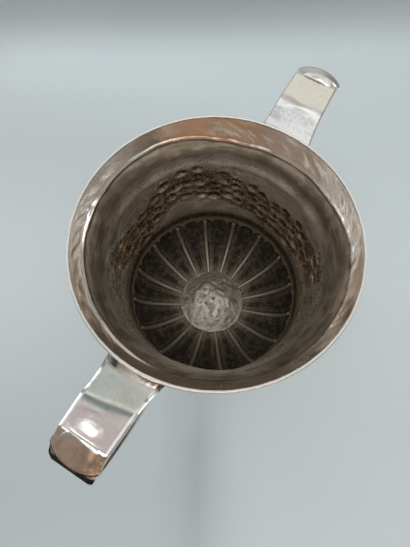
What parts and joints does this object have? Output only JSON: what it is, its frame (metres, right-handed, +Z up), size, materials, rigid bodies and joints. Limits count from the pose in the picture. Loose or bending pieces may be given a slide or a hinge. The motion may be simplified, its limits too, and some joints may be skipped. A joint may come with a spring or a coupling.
{
  "type": "two-handled wedding cup",
  "caption": "Silver wedding cup: flared bowl with a fluted bottom, two strap handles with thumb rests, raised foot.",
  "frame": {"origin": "the point on the table under the cup's axis", "axes": "+Z up along the bowl's axis, +X through the right handle, +Y across the handles"},
  "size_m": [0.1692, 0.0998, 0.1226],
  "materials": {
    "polished_silver": "hand-polished silver, worn and softly hammered",
    "tarnished_silver": "dull silver with brown tarnish in the hollows"
  },
  "bodies": {
    "root": {"bowl": "tarnished_silver", "rim_wire": "polished_silver", "centre_boss": "tarnished_silver", "stem_collar": "polished_silver", "foot": "polished_silver", "foot_ring": "polished_silver", "handle_right": "polished_silver", "thumb_rest_right": "polished_silver", "handle_left": "polished_silver", "thumb_rest_left": "polished_silver"}
  },
  "joints": []
}
